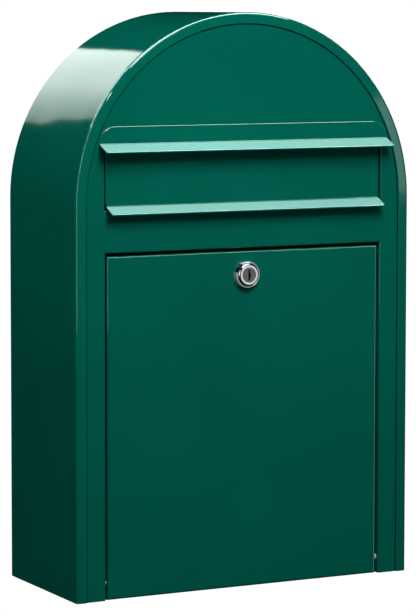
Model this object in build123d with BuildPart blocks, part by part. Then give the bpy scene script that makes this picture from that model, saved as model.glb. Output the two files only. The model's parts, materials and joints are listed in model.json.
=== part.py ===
from build123d import *
import os

# Wall mounted mailbox of folded sheet steel: an arched casing with a letter flap under a
# small hood and a drop-down door with a cam lock.
# Millimetres, +Z up, the front faces -Y and the wall is the plane Y = 0.
# The origin is the centre of the four wall bolt holes, on the wall plane.

os.makedirs("parts", exist_ok=True)

# ---- Casing ----
width = 305.0
height = 470.0
depth = 130.0
sheet = 1.2
rim_width = 9.0
rim_bend = 2.2
rim_edge = 0.4
wall_flange = 12.0
base_z = -150.0
arch_z = base_z + height - width / 2

# ---- Wall fixing ----
bolt_spacing_x = 180.0
bolt_spacing_z = 200.0
bolt_hole_r = 3.5

# ---- Depths of the front layers, measured out from the wall ----
plate_front = depth - sheet
plate_back = plate_front - sheet
panel_front = plate_back
panel_back = panel_front - sheet
plate_inset = rim_bend + 0.1
opening_bend = 1.5

# ---- Door ----
door_opening_half = 126.3
door_opening_top = base_z + 279.0
door_half = 124.3
door_top = base_z + 276.5
door_pan = 12.0
door_hem = 8.0
door_lip = 8.0
panel_bend = 2.0
opening_side_flange = 14.0
opening_top_flange = 8.0

# ---- Door hinge ----
door_axis_z = base_z + 13.0
door_axis_out = panel_front - 4.6
pin_r = 2.0
pin_head_r = 3.2
washer_r = 2.6
washer_thick = 1.0
running_gap = 0.05
side_play = 0.3

# ---- Floor ----
floor_front = door_axis_out - 15.5
floor_notch_half = 130.0
floor_lip_half = 116.0
floor_lip_top = base_z + 18.2
floor_lip_reach = 6.5
floor_flange = 12.0
drain_r = 3.0

# ---- Letter slot and flap ----
slot_half = 127.0
slot_bottom = base_z + 313.0
slot_top = base_z + 368.0
slot_flange = 12.0
flap_half = 125.3
flap_top = base_z + 366.0
flap_fold = base_z + 316.8
flap_flange = 9.0
flap_side_bend = 1.0
flap_ledge_out = 12.5
flap_ledge_drop = 6.2
flap_axis_z = base_z + 362.0
flap_axis_out = panel_front - 5.0
rod_r = 1.5
rod_half = 130.8

# ---- Hood over the slot ----
hood_half = 131.8
hood_top = base_z + 380.0
hood_fold = base_z + 366.2
hood_corner = 14.0
hood_ledge_out = 14.0
hood_ledge_drop = 6.0
ledge_corner = 2.0
sheet_edge = 0.7
relief_r = 0.9
stud_r = 2.0
stud_z = base_z + 374.0
stud_pitch = 100.0
stud_length = 6.4
nut_flats = 7.0
nut_thick = 3.2

# ---- Stops ----
flap_stop_in = 116.5
flap_stop_out = 123.5
flap_bumper_r = 2.6
door_stop_x = 95.0
door_stop_half = 8.0
door_bumper_r = 4.5

# ---- Lock ----
lock_z = base_z + 257.4
barrel_r = 8.0
barrel_back = 16.0
head_r = 9.3
head_out = 6.6
ring_r = 7.75
ring_out = 7.0
plug_r = 6.2
plug_step = 8.2
plug_tail_r = 5.0
plug_tail = 17.6
square = 6.8
cam_thick = 1.8
cam_length = 35.0
cam_width = 12.0
collar_r = 10.7
collar_bore_r = 9.4
collar_out = 5.4
collar_edge = 0.55
collar_mouth_start = 123.0
collar_mouth_sweep = 45.0

wall_plane = Plane.XZ
lock_plane = Plane(origin=(0, -panel_front, lock_z), x_dir=(1, 0, 0), z_dir=(0, -1, 0))


def arch_outline(inset, bottom, plane):
    """Round-topped outline set in from the outside of the casing, down to `bottom`."""
    half = width / 2 - inset
    with BuildSketch(plane) as outline:
        with BuildLine():
            Polyline((-half, arch_z), (-half, bottom), (half, bottom), (half, arch_z))
            ThreePointArc((half, arch_z), (0, arch_z + half), (-half, arch_z))
        make_face()
    return outline.sketch


def slab(x_limits, out_limits, z_limits, mode=Mode.ADD):
    """Block between two X limits, two distances out from the wall and two heights."""
    centre = (sum(x_limits) / 2, -sum(out_limits) / 2, sum(z_limits) / 2)
    with Locations(centre):
        Box(
            x_limits[1] - x_limits[0],
            out_limits[1] - out_limits[0],
            z_limits[1] - z_limits[0],
            mode=mode,
        )


def cross_bar(radius, x_limits, out, z, mode=Mode.ADD):
    """Round bar along X between two X limits."""
    centre = (sum(x_limits) / 2, -out, z)
    with Locations(Location(centre, (0, 90, 0))):
        Cylinder(radius, x_limits[1] - x_limits[0], mode=mode)


def edges_at(part, out, keep):
    """Edges of a part at one distance out from the wall that also satisfy `keep`."""
    level = part.edges().filter_by_position(Axis.Y, -out - 0.01, -out + 0.01)
    return level.filter_by(keep)


def strip_profile(points, inner_corners, bend):
    """Folded strip cross-section seen from the side; points are (out, height)."""
    with BuildSketch(Plane.YZ) as profile:
        with BuildLine():
            Polyline(*[(-out, z) for out, z in points], close=True)
        make_face()
        for index, radius in zip(inner_corners, bend):
            out, z = points[index]
            corner = profile.vertices().sort_by_distance((-out, z))[0]
            fillet(corner, radius)
    return profile.sketch


# ---- Fixed casing ----

with BuildPart() as body_wrapper:
    extrude(arch_outline(0, base_z, wall_plane), amount=depth)
    fillet(edges_at(body_wrapper, depth, lambda e: e.center().Z > base_z + 1), rim_bend)
    extrude(
        arch_outline(sheet, base_z - 5, wall_plane), amount=plate_front, mode=Mode.SUBTRACT
    )
    fillet(
        edges_at(body_wrapper, plate_front, lambda e: e.center().Z > base_z + 1),
        rim_bend - sheet,
    )
    extrude(
        arch_outline(rim_width, base_z - 5, wall_plane),
        amount=depth + 5,
        mode=Mode.SUBTRACT,
    )
    inner_half = width / 2 - rim_width
    fillet(
        edges_at(
            body_wrapper,
            depth,
            lambda e: base_z + 1 < e.center().Z < arch_z + inner_half + 0.1
            and abs(e.center().X) < inner_half + 0.1,
        ),
        rim_edge,
    )

with BuildPart() as back_panel:
    extrude(arch_outline(sheet, base_z + sheet, wall_plane), amount=wall_flange)
    fillet(edges_at(back_panel, 0, lambda e: True), panel_bend)
    extrude(
        arch_outline(2 * sheet, base_z + 2 * sheet, wall_plane.offset(sheet)),
        amount=wall_flange,
        mode=Mode.SUBTRACT,
    )
    with BuildSketch(wall_plane.offset(-1)):
        with GridLocations(bolt_spacing_x, bolt_spacing_z, 2, 2):
            Circle(bolt_hole_r)
    extrude(amount=sheet + 2, mode=Mode.SUBTRACT)

with BuildPart() as floor_panel:
    floor_half = width / 2 - sheet
    with BuildSketch(Plane.XY.offset(base_z)):
        with BuildLine():
            Polyline(
                (-floor_half, 0),
                (floor_half, 0),
                (floor_half, -plate_back),
                (floor_notch_half, -plate_back),
                (floor_notch_half, -floor_front),
                (-floor_notch_half, -floor_front),
                (-floor_notch_half, -plate_back),
                (-floor_half, -plate_back),
                close=True,
            )
        make_face()
        with Locations((0, -floor_front / 2)):
            with GridLocations(200, 60, 2, 2):
                Circle(drain_r, mode=Mode.SUBTRACT)
    extrude(amount=sheet)
    for side in (-1, 1):
        flange_x = sorted((side * floor_half, side * (floor_half - sheet)))
        slab(flange_x, (wall_flange + 2, plate_back - 2), (base_z, base_z + floor_flange))
    slab(
        (-floor_lip_half, floor_lip_half),
        (floor_front - sheet, floor_front),
        (base_z, floor_lip_top),
    )
    slab(
        (-floor_lip_half, floor_lip_half),
        (floor_front - sheet, floor_front + floor_lip_reach),
        (floor_lip_top - sheet, floor_lip_top),
    )

with BuildPart() as front_plate:
    extrude(arch_outline(plate_inset, base_z, wall_plane.offset(plate_back)), amount=sheet)
    slab(
        (-door_opening_half - sheet, door_opening_half + sheet),
        (plate_back - opening_top_flange, plate_back),
        (door_opening_top, door_opening_top + sheet),
    )
    slab(
        (-slot_half - sheet, slot_half + sheet),
        (plate_back - slot_flange + 2, plate_back),
        (slot_bottom - sheet, slot_bottom),
    )
    for side in (-1, 1):
        door_x = sorted((side * door_opening_half, side * (door_opening_half + sheet)))
        slab(
            door_x,
            (plate_back - opening_side_flange, plate_back),
            (base_z, door_opening_top + sheet),
        )
        slot_x = sorted((side * slot_half, side * (slot_half + sheet)))
        slab(slot_x, (plate_back - slot_flange, plate_back), (slot_bottom - sheet, slot_top))
    slab(
        (-door_opening_half, door_opening_half),
        (0, depth),
        (base_z - 5, door_opening_top),
        mode=Mode.SUBTRACT,
    )
    slab((-slot_half, slot_half), (0, depth), (slot_bottom, slot_top), mode=Mode.SUBTRACT)
    fillet(
        edges_at(
            front_plate,
            plate_front,
            lambda e: abs(e.center().X) < 130 and base_z + 1 < e.center().Z < door_opening_top + 1,
        ),
        opening_bend,
    )
    fillet(
        edges_at(
            front_plate,
            plate_front,
            lambda e: abs(e.center().X) < 130 and slot_bottom - 1 < e.center().Z < slot_top + 1,
        ),
        sheet * 0.6,
    )
    cross_bar(pin_r + 0.03, (-140, 140), door_axis_out, door_axis_z, mode=Mode.SUBTRACT)
    cross_bar(rod_r + 0.03, (-140, 140), flap_axis_out, flap_axis_z, mode=Mode.SUBTRACT)
    with BuildSketch(wall_plane.offset(plate_back - 1)):
        with Locations((0, stud_z)):
            with GridLocations(stud_pitch, 1, 3, 1):
                Circle(stud_r + 0.2)
    extrude(amount=sheet + 2, mode=Mode.SUBTRACT)

with BuildPart() as slot_hood:
    ledge_run = (hood_ledge_out**2 + hood_ledge_drop**2) ** 0.5
    tip_out = depth + hood_ledge_out
    tip_z = hood_fold - hood_ledge_drop
    under_tip_out = tip_out - sheet * hood_ledge_drop / ledge_run
    under_tip_z = tip_z - sheet * hood_ledge_out / ledge_run
    slope = hood_ledge_drop / hood_ledge_out
    under_fold_z = under_tip_z + (under_tip_out - plate_front) * slope
    extrude(
        strip_profile(
            [
                (plate_front, hood_top),
                (depth, hood_top),
                (depth, hood_fold),
                (tip_out, tip_z),
                (under_tip_out, under_tip_z),
                (plate_front, under_fold_z),
            ],
            (2, 5),
            (0.6, 1.8),
        ),
        amount=hood_half,
        both=True,
    )
    fillet(
        slot_hood.edges().filter_by(Axis.Y).filter_by(lambda e: e.center().Z > hood_top - 1),
        hood_corner,
    )
    fillet(
        slot_hood.edges().filter_by(
            lambda e: abs(e.center().X) > hood_half - 0.1 and -e.center().Y > tip_out - 0.5
        ),
        ledge_corner,
    )
    fillet(
        edges_at(slot_hood, depth, lambda e: e.center().Z > hood_fold + 0.8),
        sheet_edge,
    )

with BuildPart() as hood_studs:
    with BuildSketch(wall_plane.offset(plate_front - stud_length)):
        with Locations((0, stud_z)):
            with GridLocations(stud_pitch, 1, 3, 1):
                Circle(stud_r)
    extrude(amount=stud_length)

with BuildPart() as hood_nuts:
    with BuildSketch(wall_plane.offset(plate_back - nut_thick)):
        with Locations((0, stud_z)):
            with GridLocations(stud_pitch, 1, 3, 1):
                RegularPolygon(nut_flats / 2, 6, major_radius=False)
                Circle(stud_r, mode=Mode.SUBTRACT)
    extrude(amount=nut_thick)

with BuildPart() as flap_hinge_rod:
    cross_bar(rod_r, (-rod_half, rod_half), flap_axis_out, flap_axis_z)

with BuildPart() as rod_clips:
    for side in (-1, 1):
        clip_x = sorted((side * (slot_half + sheet), side * (slot_half + sheet + 1.4)))
        cross_bar(4.0, clip_x, flap_axis_out, flap_axis_z)
    cross_bar(rod_r, (-rod_half, rod_half), flap_axis_out, flap_axis_z, mode=Mode.SUBTRACT)

with BuildPart() as flap_stop_brackets:
    stop_out = panel_back - 5.2
    for side in (-1, 1):
        stop_x = sorted((side * flap_stop_in, side * flap_stop_out))
        slab(stop_x, (stop_out - sheet, panel_back - 1.4), (slot_bottom, slot_bottom + sheet))
        slab(stop_x, (stop_out - sheet, stop_out), (slot_bottom, slot_bottom + 13))

with BuildPart() as flap_bumpers:
    with BuildSketch(wall_plane.offset(stop_out)):
        bumper_x = (flap_stop_in + flap_stop_out) / 2
        with Locations((-bumper_x, slot_bottom + 9), (bumper_x, slot_bottom + 9)):
            Circle(flap_bumper_r)
    extrude(amount=panel_back - side_play - stop_out)
    fillet(flap_bumpers.faces().group_by(Axis.Y)[0].edges(), 0.8)

with BuildPart() as lock_strike:
    strike_out = panel_front - plug_tail + 1.0
    slab((-18, 18), (plate_back - sheet, plate_back), (lock_z + 34, lock_z + 50))
    slab((-18, 18), (strike_out, plate_back), (lock_z + 34, lock_z + 34 + sheet))
    slab((-18, 18), (strike_out, strike_out + sheet), (lock_z + 25, lock_z + 34 + sheet))

with BuildPart() as door_stop_brackets:
    lip_back = panel_front - door_pan
    arm_out = lip_back - 6.6
    for side in (-1, 1):
        arm_x = (side * door_stop_x - door_stop_half, side * door_stop_x + door_stop_half)
        slab(arm_x, (plate_back - sheet, plate_back), (door_opening_top + 5, door_opening_top + 21))
        slab(
            arm_x,
            (arm_out - sheet, plate_back),
            (door_opening_top + 5, door_opening_top + 5 + sheet),
        )
        slab(arm_x, (arm_out - sheet, arm_out), (door_top - 11, door_opening_top + 5 + sheet))

with BuildPart() as door_bumpers:
    with BuildSketch(wall_plane.offset(arm_out)):
        with Locations((-door_stop_x, door_top - 5.5), (door_stop_x, door_top - 5.5)):
            Circle(door_bumper_r)
    extrude(amount=lip_back - side_play - arm_out)
    fillet(door_bumpers.faces().group_by(Axis.Y)[0].edges(), 1.2)

with BuildPart() as door_hinge_pins:
    head_x = door_half - sheet - side_play
    for side in (-1, 1):
        head_limits = sorted((side * (head_x - sheet), side * head_x))
        shank_limits = sorted((side * (head_x - sheet), side * (door_opening_half + sheet + 1)))
        tail_limits = sorted(
            (side * (door_opening_half + sheet), side * (door_opening_half + sheet + 1.2))
        )
        cross_bar(pin_head_r, head_limits, door_axis_out, door_axis_z)
        cross_bar(pin_r, shank_limits, door_axis_out, door_axis_z)
        cross_bar(pin_r + 0.9, tail_limits, door_axis_out, door_axis_z)

with BuildPart() as hinge_washers:
    for side in (-1, 1):
        washer_x = sorted((side * (door_opening_half - washer_thick), side * door_opening_half))
        cross_bar(washer_r, washer_x, door_axis_out, door_axis_z)
    cross_bar(pin_r, (-door_opening_half, door_opening_half), door_axis_out, door_axis_z, Mode.SUBTRACT)

# ---- Drop-down door ----

with BuildPart() as door_panel:
    slab((-door_half, door_half), (panel_front - door_pan, panel_front), (base_z, door_top))
    fillet(edges_at(door_panel, panel_front, lambda e: True), panel_bend)
    slab(
        (-door_half + sheet, door_half - sheet),
        (0, panel_back),
        (base_z + sheet, door_top - sheet),
        mode=Mode.SUBTRACT,
    )
    slab(
        (-door_half + sheet, door_half - sheet),
        (panel_front - door_pan - 1, panel_front - door_hem),
        (base_z - 1, base_z + 2 * sheet),
        mode=Mode.SUBTRACT,
    )
    slab(
        (-door_half + sheet, door_half - sheet),
        (panel_front - door_pan, panel_front - door_pan + sheet),
        (door_top - door_lip, door_top - sheet),
    )
    with BuildSketch(lock_plane.offset(1)):
        Circle(barrel_r + 0.1)
    extrude(amount=-(sheet + 2), mode=Mode.SUBTRACT)
    cross_bar(pin_r + running_gap, (-140, 140), door_axis_out, door_axis_z, mode=Mode.SUBTRACT)

with BuildPart() as lock_barrel:
    with BuildSketch(lock_plane):
        Circle(head_r)
    extrude(amount=head_out)
    chamfer(lock_barrel.faces().sort_by(Axis.Y)[0].edges(), 0.9)
    with BuildSketch(lock_plane.offset(head_out)):
        Circle(ring_r)
    extrude(amount=ring_out - head_out)
    with BuildSketch(lock_plane):
        Circle(barrel_r)
    extrude(amount=-barrel_back)
    with BuildSketch(lock_plane.offset(ring_out)):
        Circle(plug_r + running_gap)
    extrude(amount=-(ring_out + plug_step + side_play), mode=Mode.SUBTRACT)
    with BuildSketch(lock_plane):
        Circle(plug_tail_r + running_gap)
    extrude(amount=-barrel_back, mode=Mode.SUBTRACT)

with BuildPart() as lock_collar:
    with BuildSketch(lock_plane):
        Circle(collar_r)
        Circle(collar_bore_r, mode=Mode.SUBTRACT)
        with BuildLine():
            mouth = CenterArc((0, 0), 2 * collar_r, collar_mouth_start, collar_mouth_sweep)
            Line((0, 0), mouth @ 0)
            Line(mouth @ 1, (0, 0))
        make_face(mode=Mode.SUBTRACT)
    extrude(amount=collar_out)
    fillet(lock_collar.faces().sort_by(Axis.Y)[0].edges(), collar_edge)

with BuildPart() as lock_tooth_washer:
    with BuildSketch(lock_plane.offset(-sheet)):
        Circle(11.0)
        with PolarLocations(11.0, 16):
            Rectangle(1.6, 1.2, mode=Mode.SUBTRACT)
        Circle(barrel_r, mode=Mode.SUBTRACT)
    extrude(amount=-0.8)

with BuildPart() as lock_nut:
    with BuildSketch(lock_plane.offset(-sheet - 0.8)):
        RegularPolygon(11.0, 6, major_radius=False)
        Circle(barrel_r, mode=Mode.SUBTRACT)
    extrude(amount=-4.0)

# ---- Turning part of the lock ----

with BuildPart() as lock_plug:
    with BuildSketch(lock_plane.offset(ring_out - 0.2)):
        Circle(plug_r)
    extrude(amount=-(ring_out - 0.2 + plug_step))
    with BuildSketch(lock_plane.offset(-plug_step)):
        Circle(plug_tail_r)
    extrude(amount=-(plug_tail - plug_step))
    with BuildSketch(lock_plane.offset(-plug_tail)):
        Rectangle(square, square)
    extrude(amount=-cam_thick)
    with BuildSketch(lock_plane.offset(ring_out)):
        Rectangle(1.5, 9.0)
    extrude(amount=-12.0, mode=Mode.SUBTRACT)
    with BuildSketch(lock_plane.offset(ring_out)):
        with Locations((1.2, -0.6)):
            Rectangle(0.9, 3.6)
    extrude(amount=-1.2, mode=Mode.SUBTRACT)
    with BuildSketch(lock_plane.offset(-plug_tail - cam_thick)):
        Circle(2.0)
    extrude(amount=8.0, mode=Mode.SUBTRACT)

with BuildPart() as lock_cam:
    with BuildSketch(lock_plane.offset(-plug_tail)) as cam_outline:
        Circle(8.0)
        with Locations((-cam_length / 2, 0)):
            Rectangle(cam_length, cam_width)
        fillet(cam_outline.vertices().group_by(Axis.X)[0], 3.0)
        Rectangle(square, square, mode=Mode.SUBTRACT)
    extrude(amount=-cam_thick)

with BuildPart() as cam_washer:
    with BuildSketch(lock_plane.offset(-plug_tail - cam_thick)):
        Circle(6.0)
        Circle(2.0, mode=Mode.SUBTRACT)
    extrude(amount=-1.0)

with BuildPart() as cam_screw:
    with BuildSketch(lock_plane.offset(-plug_tail - cam_thick - 1.0)):
        Circle(4.2)
    extrude(amount=-2.6)
    fillet(cam_screw.faces().sort_by(Axis.Y)[-1].edges(), 0.8)
    with BuildSketch(lock_plane.offset(-plug_tail - cam_thick - 1.0)):
        Circle(2.0)
    extrude(amount=8.0)
    with BuildSketch(lock_plane.offset(-plug_tail - cam_thick - 3.6)):
        Rectangle(4.6, 1.0)
        Rectangle(1.0, 4.6)
    extrude(amount=1.4, mode=Mode.SUBTRACT)

# ---- Letter flap ----

with BuildPart() as letter_flap:
    flap_run = (flap_ledge_out**2 + flap_ledge_drop**2) ** 0.5
    flap_tip_out = panel_front + flap_ledge_out
    flap_tip_z = flap_fold - flap_ledge_drop
    flap_under_out = flap_tip_out - sheet * flap_ledge_drop / flap_run
    flap_under_z = flap_tip_z - sheet * flap_ledge_out / flap_run
    flap_slope = flap_ledge_drop / flap_ledge_out
    flap_back_z = flap_under_z + (flap_under_out - panel_back) * flap_slope
    extrude(
        strip_profile(
            [
                (panel_back, flap_top),
                (panel_front, flap_top),
                (panel_front, flap_fold),
                (flap_tip_out, flap_tip_z),
                (flap_under_out, flap_under_z),
                (panel_back, flap_back_z),
            ],
            (2, 5),
            (0.6, 1.8),
        ),
        amount=flap_half,
        both=True,
    )
    fillet(
        letter_flap.edges().filter_by(
            lambda e: abs(e.center().X) > flap_half - 0.1 and -e.center().Y > flap_tip_out - 0.5
        ),
        ledge_corner,
    )
    for side in (-1, 1):
        flange_x = sorted((side * flap_half, side * (flap_half - sheet)))
        slab(flange_x, (panel_front - flap_flange, panel_front), (flap_fold + 2, flap_top))
    fillet(
        edges_at(
            letter_flap,
            panel_front,
            lambda e: abs(e.center().X) > flap_half - 0.1 and e.length > 20,
        ),
        flap_side_bend,
    )
    with BuildSketch(wall_plane.offset(panel_back)):
        with Locations((-flap_half, flap_fold + 0.4), (flap_half, flap_fold + 0.4)):
            Circle(relief_r)
    extrude(amount=5 * sheet, mode=Mode.SUBTRACT)
    cross_bar(rod_r + running_gap, (-140, 140), flap_axis_out, flap_axis_z, mode=Mode.SUBTRACT)

pieces = {
    "body_wrapper": body_wrapper,
    "back_panel": back_panel,
    "floor_panel": floor_panel,
    "front_plate": front_plate,
    "slot_hood": slot_hood,
    "hood_studs": hood_studs,
    "hood_nuts": hood_nuts,
    "flap_hinge_rod": flap_hinge_rod,
    "rod_clips": rod_clips,
    "flap_stop_brackets": flap_stop_brackets,
    "flap_bumpers": flap_bumpers,
    "lock_strike": lock_strike,
    "door_stop_brackets": door_stop_brackets,
    "door_bumpers": door_bumpers,
    "door_hinge_pins": door_hinge_pins,
    "hinge_washers": hinge_washers,
    "door_panel": door_panel,
    "lock_barrel": lock_barrel,
    "lock_collar": lock_collar,
    "lock_tooth_washer": lock_tooth_washer,
    "lock_nut": lock_nut,
    "lock_plug": lock_plug,
    "lock_cam": lock_cam,
    "cam_washer": cam_washer,
    "cam_screw": cam_screw,
    "letter_flap": letter_flap,
}

for name, piece in pieces.items():
    piece.part.label = name
    export_step(piece.part, f"parts/{name}.step")
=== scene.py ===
import json
import math

import bpy
from mathutils import Matrix, Vector


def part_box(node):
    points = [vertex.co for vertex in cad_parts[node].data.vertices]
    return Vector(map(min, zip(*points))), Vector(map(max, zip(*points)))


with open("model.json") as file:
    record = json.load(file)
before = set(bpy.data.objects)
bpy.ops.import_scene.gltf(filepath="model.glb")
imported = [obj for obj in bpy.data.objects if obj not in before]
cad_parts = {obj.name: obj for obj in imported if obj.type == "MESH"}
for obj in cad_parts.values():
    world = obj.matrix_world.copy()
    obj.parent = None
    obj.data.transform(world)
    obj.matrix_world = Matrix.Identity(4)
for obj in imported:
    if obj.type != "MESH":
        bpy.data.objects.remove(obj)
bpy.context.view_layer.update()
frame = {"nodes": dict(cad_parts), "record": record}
scene = bpy.context.scene
scene.view_settings.view_transform = "Standard"
scene.view_settings.look = "None"
scene.view_settings.exposure = 0.0
scene.view_settings.gamma = 1.0

# Metres, as the frame has them.
HOOD_LEDGE_FRONT = -0.1306
FLAP_LEDGE_FRONT = -0.1284
LEDGE_RAMP = 0.0006
SEAM_RADIUS = 0.1435
RIM_CROWN = 0.105
FLOOR_Z = -1.35
FLOOR_HALF = 12.0
AIM = Vector((0.0, -0.065, 0.085))

# Input sockets of the colour mix node.
MIX_FACTOR = 0
MIX_FIRST = 6
MIX_SECOND = 7
MIX_RESULT = 2

WHITE = (1.0, 1.0, 1.0, 1.0)
BACKDROP_STRENGTH = 1.05


# ---------------------------------------------------------------- node helpers


class Nodes:
    """Short way to build one node tree, of a material or of the world."""

    def __init__(self, name, owner=None, output="ShaderNodeOutputMaterial"):
        self.owner = owner or bpy.data.materials.new(name)
        self.owner.use_nodes = True
        self.tree = self.owner.node_tree
        self.tree.nodes.clear()
        self.output = self.add(output)

    def add(self, kind, **settings):
        node = self.tree.nodes.new(kind)
        for key, value in settings.items():
            setattr(node, key, value)
        return node

    def link(self, source, target):
        self.tree.links.new(source, target)

    def object_coords(self):
        return self.add("ShaderNodeTexCoord").outputs["Object"]

    def separate(self, vector):
        node = self.add("ShaderNodeSeparateXYZ")
        self.link(vector, node.inputs["Vector"])
        return node.outputs

    def length(self, vector):
        node = self.add("ShaderNodeVectorMath", operation="LENGTH")
        self.link(vector, node.inputs[0])
        return node.outputs["Value"]

    def math(self, operation, source, second):
        """One sum; the second term is a number or another node's output."""
        node = self.add("ShaderNodeMath", operation=operation)
        self.link(source, node.inputs[0])
        if isinstance(second, float):
            node.inputs[1].default_value = second
        else:
            self.link(second, node.inputs[1])
        return node.outputs["Value"]

    def noise(self, coords, scale, detail, stretch=None):
        if stretch:
            mapping = self.add("ShaderNodeMapping")
            mapping.inputs["Scale"].default_value = stretch
            self.link(coords, mapping.inputs["Vector"])
            coords = mapping.outputs["Vector"]
        node = self.add("ShaderNodeTexNoise")
        node.inputs["Scale"].default_value = scale
        node.inputs["Detail"].default_value = detail
        node.inputs["Roughness"].default_value = 0.5
        self.link(coords, node.inputs["Vector"])
        return node.outputs["Fac"]

    def fade(self, source, start, end):
        """Zero where the source is at its start, one from its end on."""
        node = self.add("ShaderNodeMapRange")
        node.inputs["From Min"].default_value = start
        node.inputs["From Max"].default_value = end
        self.link(source, node.inputs["Value"])
        return node.outputs["Result"]

    def spread(self, source, low, high):
        """Lay a zero-to-one source out between two values."""
        node = self.add("ShaderNodeMapRange")
        node.inputs["To Min"].default_value = low
        node.inputs["To Max"].default_value = high
        self.link(source, node.inputs["Value"])
        return node.outputs["Result"]

    def ramp(self, source, stops):
        node = self.add("ShaderNodeValToRGB")
        elements = node.color_ramp.elements
        while len(elements) < len(stops):
            elements.new(0.5)
        for element, (position, colour) in zip(elements, stops):
            element.position = position
            element.color = (*colour, 1.0)
        self.link(source, node.inputs["Fac"])
        return node.outputs["Color"]

    def mix(self, factor, first, second, blend_type="MIX"):
        """Mix two colours; the factor may be a number and the second colour a fixed one."""
        node = self.add("ShaderNodeMix", data_type="RGBA", blend_type=blend_type)
        self.link(first, node.inputs[MIX_FIRST])
        if isinstance(factor, float):
            node.inputs[MIX_FACTOR].default_value = factor
        else:
            self.link(factor, node.inputs[MIX_FACTOR])
        if isinstance(second, tuple):
            node.inputs[MIX_SECOND].default_value = second
        else:
            self.link(second, node.inputs[MIX_SECOND])
        return node.outputs[MIX_RESULT]

    def bump(self, height, distance, normal=None):
        node = self.add("ShaderNodeBump")
        node.inputs["Strength"].default_value = 1.0
        node.inputs["Distance"].default_value = distance
        self.link(height, node.inputs["Height"])
        if normal:
            self.link(normal, node.inputs["Normal"])
        return node.outputs["Normal"]

    def surface(self, colour, roughness, normal, metallic, **fixed):
        shader = self.add("ShaderNodeBsdfPrincipled")
        self.link(colour, shader.inputs["Base Color"])
        self.link(roughness, shader.inputs["Roughness"])
        self.link(normal, shader.inputs["Normal"])
        shader.inputs["Metallic"].default_value = metallic
        for key, value in fixed.items():
            shader.inputs[key].default_value = value
        self.link(shader.outputs["BSDF"], self.output.inputs["Surface"])
        return self.owner

    def glow(self, strength, colour=None):
        """Make the surface an even emitter, white unless a colour is linked."""
        node = self.add("ShaderNodeEmission")
        node.inputs["Color"].default_value = WHITE
        node.inputs["Strength"].default_value = strength
        if colour:
            self.link(colour, node.inputs["Color"])
        self.link(node.outputs["Emission"], self.output.inputs["Surface"])
        return self.owner

    def background(self, strength):
        node = self.add("ShaderNodeBackground")
        node.inputs["Color"].default_value = WHITE
        if isinstance(strength, float):
            node.inputs["Strength"].default_value = strength
        else:
            self.link(strength, node.inputs["Strength"])
        return node.outputs["Background"]

    def choose(self, factor, first, second):
        node = self.add("ShaderNodeMixShader")
        self.link(factor, node.inputs["Fac"])
        self.link(first, node.inputs[1])
        self.link(second, node.inputs[2])
        return node.outputs["Shader"]


# ---------------------------------------------------------------- finishes


def ledge_highlight_mask(n, coords, front):
    """One on the upper face of the folded ledge that stands in front of the given depth, else zero;
    this is where the painted highlight goes.
    """
    ahead = n.fade(n.separate(coords)["Y"], front, front - LEDGE_RAMP)
    facing = n.separate(n.add("ShaderNodeTexCoord").outputs["Normal"])
    upward = n.fade(facing["Z"], 0.55, 0.80)
    return n.math("MULTIPLY", ahead, upward)


def arch_distance(n, coords):
    """Distance from the arch's centre line: round the arch above the spring line, sideways below it."""
    low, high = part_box("body_wrapper")
    spring = high.z - (high.x - low.x) / 2
    place = n.separate(coords)
    above = n.math("SUBTRACT", place["Z"], spring)
    flat = n.add("ShaderNodeCombineXYZ")
    n.link(place["X"], flat.inputs["X"])
    n.link(n.math("MAXIMUM", above, 0.0), flat.inputs["Z"])
    return n.length(flat.outputs["Vector"])


def green_coat(name="green_coat", ledge_front=None, seam=None, crown=None):
    """Glossy powder coat: slow colour drift, fine orange peel and the long waves of pressed sheet.

    On a ledge's upper face a pale mint is a painted highlight, just inside the rim a dark line is
    painted shade, and a crown leans the normals outward.
    """
    n = Nodes(name)
    coords = n.object_coords()
    drift = n.noise(coords, 9.0, 3.0)
    greens = [
        (0.3, (0.0003, 0.086, 0.0590)),
        (0.5, (0.0004, 0.092, 0.0635)),
        (0.7, (0.0006, 0.098, 0.068)),
    ]
    colour = n.ramp(drift, greens)
    if ledge_front is not None:
        # Painted highlight: the ledge's upper face is coloured pale mint for the light it catches from
        # above.
        painted_ledge_highlight = n.ramp(drift, [(0.3, (0.214, 0.500, 0.440)), (0.7, (0.236, 0.535, 0.475))])
        colour = n.mix(ledge_highlight_mask(n, coords, ledge_front), colour, painted_ledge_highlight)
    if seam is not None:
        # Painted shade: a dark line on the plate just inside the rim stands in for the shadow the rim's
        # edge casts.
        painted_seam_shade = n.fade(arch_distance(n, coords), seam - 0.0016, seam - 0.0003)
        colour = n.mix(painted_seam_shade, colour, (0.0002, 0.016, 0.011, 1.0))
    roughness = n.spread(n.noise(coords, 60.0, 3.0), 0.045, 0.075)
    waves = n.bump(n.noise(coords, 11.0, 1.0), 0.0005)
    if crown is not None:
        fall = n.math("MULTIPLY", arch_distance(n, coords), -crown)
        waves = n.bump(fall, 1.0, waves)
    peel = n.bump(n.noise(coords, 620.0, 1.0), 0.000012, waves)
    return n.surface(colour, roughness, peel, 0.0, IOR=1.5)


def plated_steel():
    """Bright zinc plate with faint crystalline mottling and rolling marks."""
    n = Nodes("zinc_steel")
    coords = n.object_coords()
    mottle = n.noise(coords, 900.0, 3.0)
    colour = n.ramp(mottle, [(0.3, (0.50, 0.51, 0.52)), (0.7, (0.68, 0.69, 0.70))])
    roughness = n.spread(n.noise(coords, 300.0, 4.0, (1.0, 8.0, 8.0)), 0.22, 0.42)
    marks = n.bump(n.noise(coords, 1500.0, 2.0, (0.2, 1.0, 1.0)), 0.00001)
    return n.surface(colour, roughness, marks, 1.0)


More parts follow.
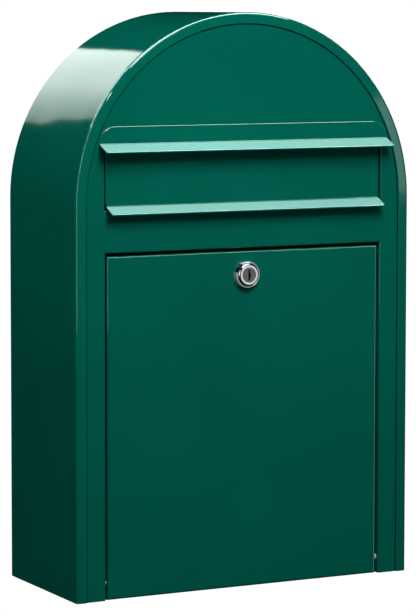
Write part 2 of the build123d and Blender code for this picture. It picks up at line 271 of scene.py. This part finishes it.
def from_lock_axis(n, coords):
    """Position flattened along the lock's axis and measured from it."""
    low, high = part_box("lock_plug")
    centre = (low + high) / 2
    mapping = n.add("ShaderNodeMapping")
    mapping.inputs["Location"].default_value = (-centre.x, 0.0, -centre.z)
    mapping.inputs["Scale"].default_value = (1.0, 0.0, 1.0)
    n.link(coords, mapping.inputs["Vector"])
    return mapping.outputs["Vector"]


def lock_rings(n, coords, scale):
    """Turning marks: rings round the lock's own axis."""
    rings = n.add("ShaderNodeTexWave", wave_type="RINGS", rings_direction="SPHERICAL")
    rings.inputs["Scale"].default_value = scale
    rings.inputs["Distortion"].default_value = 0.6
    rings.inputs["Detail"].default_value = 2.0
    n.link(from_lock_axis(n, coords), rings.inputs["Vector"])
    return rings.outputs["Fac"]


def lock_chrome():
    """Polished ring round the plug; outside it, painted dark bands stand in for the shade in the gap
    between head and collar, with a lighter ring among them.
    """
    n = Nodes("lock_chrome")
    coords = n.object_coords()
    haze = n.noise(coords, 700.0, 3.0)
    bright = n.ramp(haze, [(0.3, (0.74, 0.74, 0.75)), (0.7, (0.86, 0.86, 0.87))])
    outward = n.fade(n.length(from_lock_axis(n, coords)), 0.0070, 0.0095)
    # Painted shade: dark bands outside the polished ring for the shadowed gap between head and collar.
    gap_shade_bands = [
        (0.28, (1.0, 1.0, 1.0)),
        (0.34, (0.10, 0.10, 0.11)),
        (0.62, (0.13, 0.13, 0.14)),
        (0.70, (0.34, 0.34, 0.35)),
        (0.80, (0.08, 0.08, 0.09)),
    ]
    colour = n.mix(1.0, bright, n.ramp(outward, gap_shade_bands), "MULTIPLY")
    roughness = n.spread(haze, 0.10, 0.22)
    marks = n.bump(lock_rings(n, coords, 420.0), 0.000008)
    return n.surface(colour, roughness, marks, 1.0)


def lock_collar_finish():
    """Plated die-cast collar; the grey is the plating, and its green tint is a painted reflection of
    the green door round it.
    """
    n = Nodes("lock_collar_plate")
    coords = n.object_coords()
    haze = n.noise(coords, 500.0, 3.0)
    # Painted reflection: the green tint in these greys stands for the green door mirrored in the
    # collar.
    colour = n.ramp(haze, [(0.3, (0.44, 0.50, 0.48)), (0.7, (0.56, 0.62, 0.60))])
    roughness = n.spread(haze, 0.16, 0.26)
    marks = n.bump(lock_rings(n, coords, 300.0), 0.000006)
    return n.surface(colour, roughness, marks, 0.5)


def plug_steel():
    """Dark satin face of the lock cylinder with turning marks; behind the face, in the keyway,
    near-black is painted shade.
    """
    n = Nodes("plug_steel")
    coords = n.object_coords()
    rings = lock_rings(n, coords, 600.0)
    haze = n.noise(coords, 900.0, 3.0)
    face = n.ramp(haze, [(0.3, (0.11, 0.11, 0.12)), (0.7, (0.22, 0.22, 0.23))])
    low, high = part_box("lock_plug")
    # Painted shade: surfaces more than about a millimetre behind the face go near-black.
    keyway_shade = n.fade(n.separate(coords)["Y"], low.y + 0.0003, low.y + 0.0011)
    colour = n.mix(keyway_shade, face, (0.008, 0.008, 0.009, 1.0))
    roughness = n.spread(rings, 0.28, 0.40)
    marks = n.bump(rings, 0.00001)
    return n.surface(colour, roughness, marks, 1.0)


def moulded(name, scale, detail, stops, roughness, grain_depth):
    """Plain moulded rubber or plastic with a fine grain."""
    n = Nodes(name)
    grain = n.noise(n.object_coords(), scale, detail)
    colour = n.ramp(grain, stops)
    return n.surface(colour, n.spread(grain, *roughness), n.bump(grain, grain_depth), 0.0)


rubber = [(0.3, (0.012, 0.012, 0.012)), (0.7, (0.028, 0.028, 0.027))]
nylon = [(0.3, (0.46, 0.50, 0.47)), (0.7, (0.56, 0.59, 0.56))]
finishes = {
    "green_coat": green_coat(),
    "zinc_steel": plated_steel(),
    "lock_chrome": lock_chrome(),
    "plug_steel": plug_steel(),
    "bumper_rubber": moulded("bumper_rubber", 1200.0, 3.0, rubber, (0.65, 0.85), 0.00002),
    "washer_nylon": moulded("washer_nylon", 800.0, 2.0, nylon, (0.35, 0.5), 0.00001),
}

special = {
    "slot_hood": green_coat("green_coat_hood", HOOD_LEDGE_FRONT),
    "letter_flap": green_coat("green_coat_flap", FLAP_LEDGE_FRONT),
    "front_plate": green_coat("green_coat_plate", seam=SEAM_RADIUS),
    "body_wrapper": green_coat("green_coat_body", crown=RIM_CROWN),
    "lock_collar": lock_collar_finish(),
}

for part in frame["record"]["subparts"]:
    for slot in frame["nodes"][part["node"]].material_slots:
        slot.material = special.get(part["node"], finishes[part["material_slot"]])


# ---------------------------------------------------------------- studio


def direction(azimuth, elevation):
    """Azimuth 0 is straight in front of the box and positive to its right."""
    a, e = math.radians(azimuth), math.radians(elevation)
    return Vector((math.sin(a) * math.cos(e), -math.cos(a) * math.cos(e), math.sin(e)))


def place_light(obj, toward, distance, only):
    """Aim a light at the box and, if nodes are named, limit it to them."""
    obj.location = AIM + toward * distance
    obj.rotation_euler = toward.to_track_quat("Z", "Y").to_euler()
    scene.collection.objects.link(obj)
    if only:
        receivers = bpy.data.collections.new(obj.name + "_receivers")
        for node in only:
            receivers.objects.link(frame["nodes"][node])
        obj.light_linking.receiver_collection = receivers


def sheet_object(name, half_width, half_height, material):
    mesh = bpy.data.meshes.new(name)
    w, h = half_width, half_height
    mesh.from_pydata([(-w, -h, 0), (w, -h, 0), (w, h, 0), (-w, h, 0)], [], [(0, 1, 2, 3)])
    mesh.materials.append(material)
    return bpy.data.objects.new(name, mesh)


def panel(name, toward, distance, width, height, stops, strength, diffuse=True, only=()):
    """Soft light panel facing the box, with its colour stops laid from its right to its left."""
    n = Nodes(name)
    across = n.separate(n.add("ShaderNodeTexCoord").outputs["Generated"])["X"]
    obj = sheet_object(name, width / 2, height / 2, n.glow(strength, n.ramp(across, stops)))
    obj.visible_camera = False
    obj.visible_diffuse = diffuse
    place_light(obj, Vector(toward).normalized(), distance, only)


def lamp(name, azimuth, elevation, distance, width, height, power, only=()):
    """Soft lamp aimed at the box."""
    data = bpy.data.lights.new(name, "AREA")
    data.shape = "RECTANGLE"
    data.size = width
    data.size_y = height
    data.energy = power
    obj = bpy.data.objects.new(name, data)
    place_light(obj, direction(azimuth, elevation), distance, only)
    return obj


lamp("key", -8.0, 41.5, 1.05, 0.36, 0.50, 10.8)
body_fill = lamp("body_fill", -80.0, 34.0, 0.80, 0.30, 0.30, 1.95, ("body_wrapper",))
body_fill.visible_glossy = False
roof_fill = lamp("roof_fill", 149.0, 54.0, 0.80, 0.30, 0.30, 6.0, ("body_wrapper",))
roof_fill.visible_glossy = False
lamp("collar_fill", -60.0, -22.0, 0.9, 0.40, 0.40, 0.9, ("lock_collar",))
lamp("lock_fill", 27.0, -5.0, 0.9, 0.50, 0.50, 0.62, ("lock_barrel", "lock_plug"))

dimming = [(0.0, (0.70, 0.78, 0.74)), (0.6, (0.66, 0.73, 0.70)), (1.0, (0.27, 0.31, 0.29))]
cool = [(0.0, (0.72, 1.0, 0.95)), (1.0, (0.72, 1.0, 0.95))]
casing = ("body_wrapper",)
coated = ("body_wrapper", "front_plate", "slot_hood", "letter_flap")
right_side = (0.90, -0.41, 0.0)
panel("shoulder", direction(189.3, 24.0), 2.2, 0.88, 0.62, dimming, 4.8)
panel("overhead", (0.0, -0.21, 1.0), 1.3, 2.0, 0.75, cool, 24.0, False)
panel("left_strip", (-0.78, -0.44, 0.40), 1.6, 0.34, 1.9, cool, 6.0, False)
panel("left_upper", (-0.68, -0.10, 0.72), 1.3, 1.1, 0.9, cool, 12.0, False, casing)
panel("right_strip", right_side, 1.6, 0.42, 1.1, cool, 9.0, False, coated)
panel("door_strip", right_side, 1.6, 0.42, 1.1, cool, 3.6, False, ("door_panel",))
panel("hood_strip", (0.88, -0.10, 0.42), 1.6, 0.55, 1.0, cool, 5.0, False, ("slot_hood",))
panel("right_patch", (0.668, -0.740, 0.075), 1.6, 0.36, 0.26, cool, 1.9, False, casing)

# The camera sees plain white and the coat mirrors nothing but the panels and lamps.
# All other rays get a fill that grows from the floor up.
scene.world = bpy.data.worlds.new("studio")
sky = Nodes("studio", scene.world, "ShaderNodeOutputWorld")
rays = sky.add("ShaderNodeLightPath").outputs
height = sky.separate(sky.add("ShaderNodeTexCoord").outputs["Generated"])["Z"]
from_below = sky.add("ShaderNodeMapRange")
from_below.inputs["From Min"].default_value = -1.0
from_below.inputs["From Max"].default_value = 1.0
from_below.inputs["To Min"].default_value = 0.05
from_below.inputs["To Max"].default_value = 0.47
sky.link(height, from_below.inputs["Value"])
fill = sky.background(from_below.outputs["Result"])
unseen = sky.choose(rays["Is Glossy Ray"], fill, sky.background(0.0))
seen = sky.choose(rays["Is Camera Ray"], unseen, sky.background(BACKDROP_STRENGTH))
sky.link(seen, sky.output.inputs["Surface"])

floor_look = Nodes("floor_look").glow(BACKDROP_STRENGTH)
floor = sheet_object("floor", FLOOR_HALF, FLOOR_HALF, floor_look)
floor.location.z = FLOOR_Z
floor.visible_glossy = False
floor.visible_diffuse = False
scene.collection.objects.link(floor)


# ---------------------------------------------------------------- camera

camera_data = bpy.data.cameras.new("camera")
camera_data.sensor_fit = "AUTO"
camera_data.sensor_width = 36.0
camera_data.lens = 168.09
camera_data.shift_y = -0.1
camera_data.clip_start = 0.1
camera_data.clip_end = 60.0
camera = bpy.data.objects.new("camera", camera_data)
right = Vector((0.88847, -0.45893, 0.00112))
up = Vector((0.03765, 0.07531, 0.99645))
back = right.cross(up)
camera.matrix_world = Matrix(
    (
        (right.x, up.x, back.x, -1.0966),
        (right.y, up.y, back.y, -2.18392),
        (right.z, up.z, back.z, 0.32702),
        (0.0, 0.0, 0.0, 1.0),
    )
)
scene.collection.objects.link(camera)
scene.camera = camera
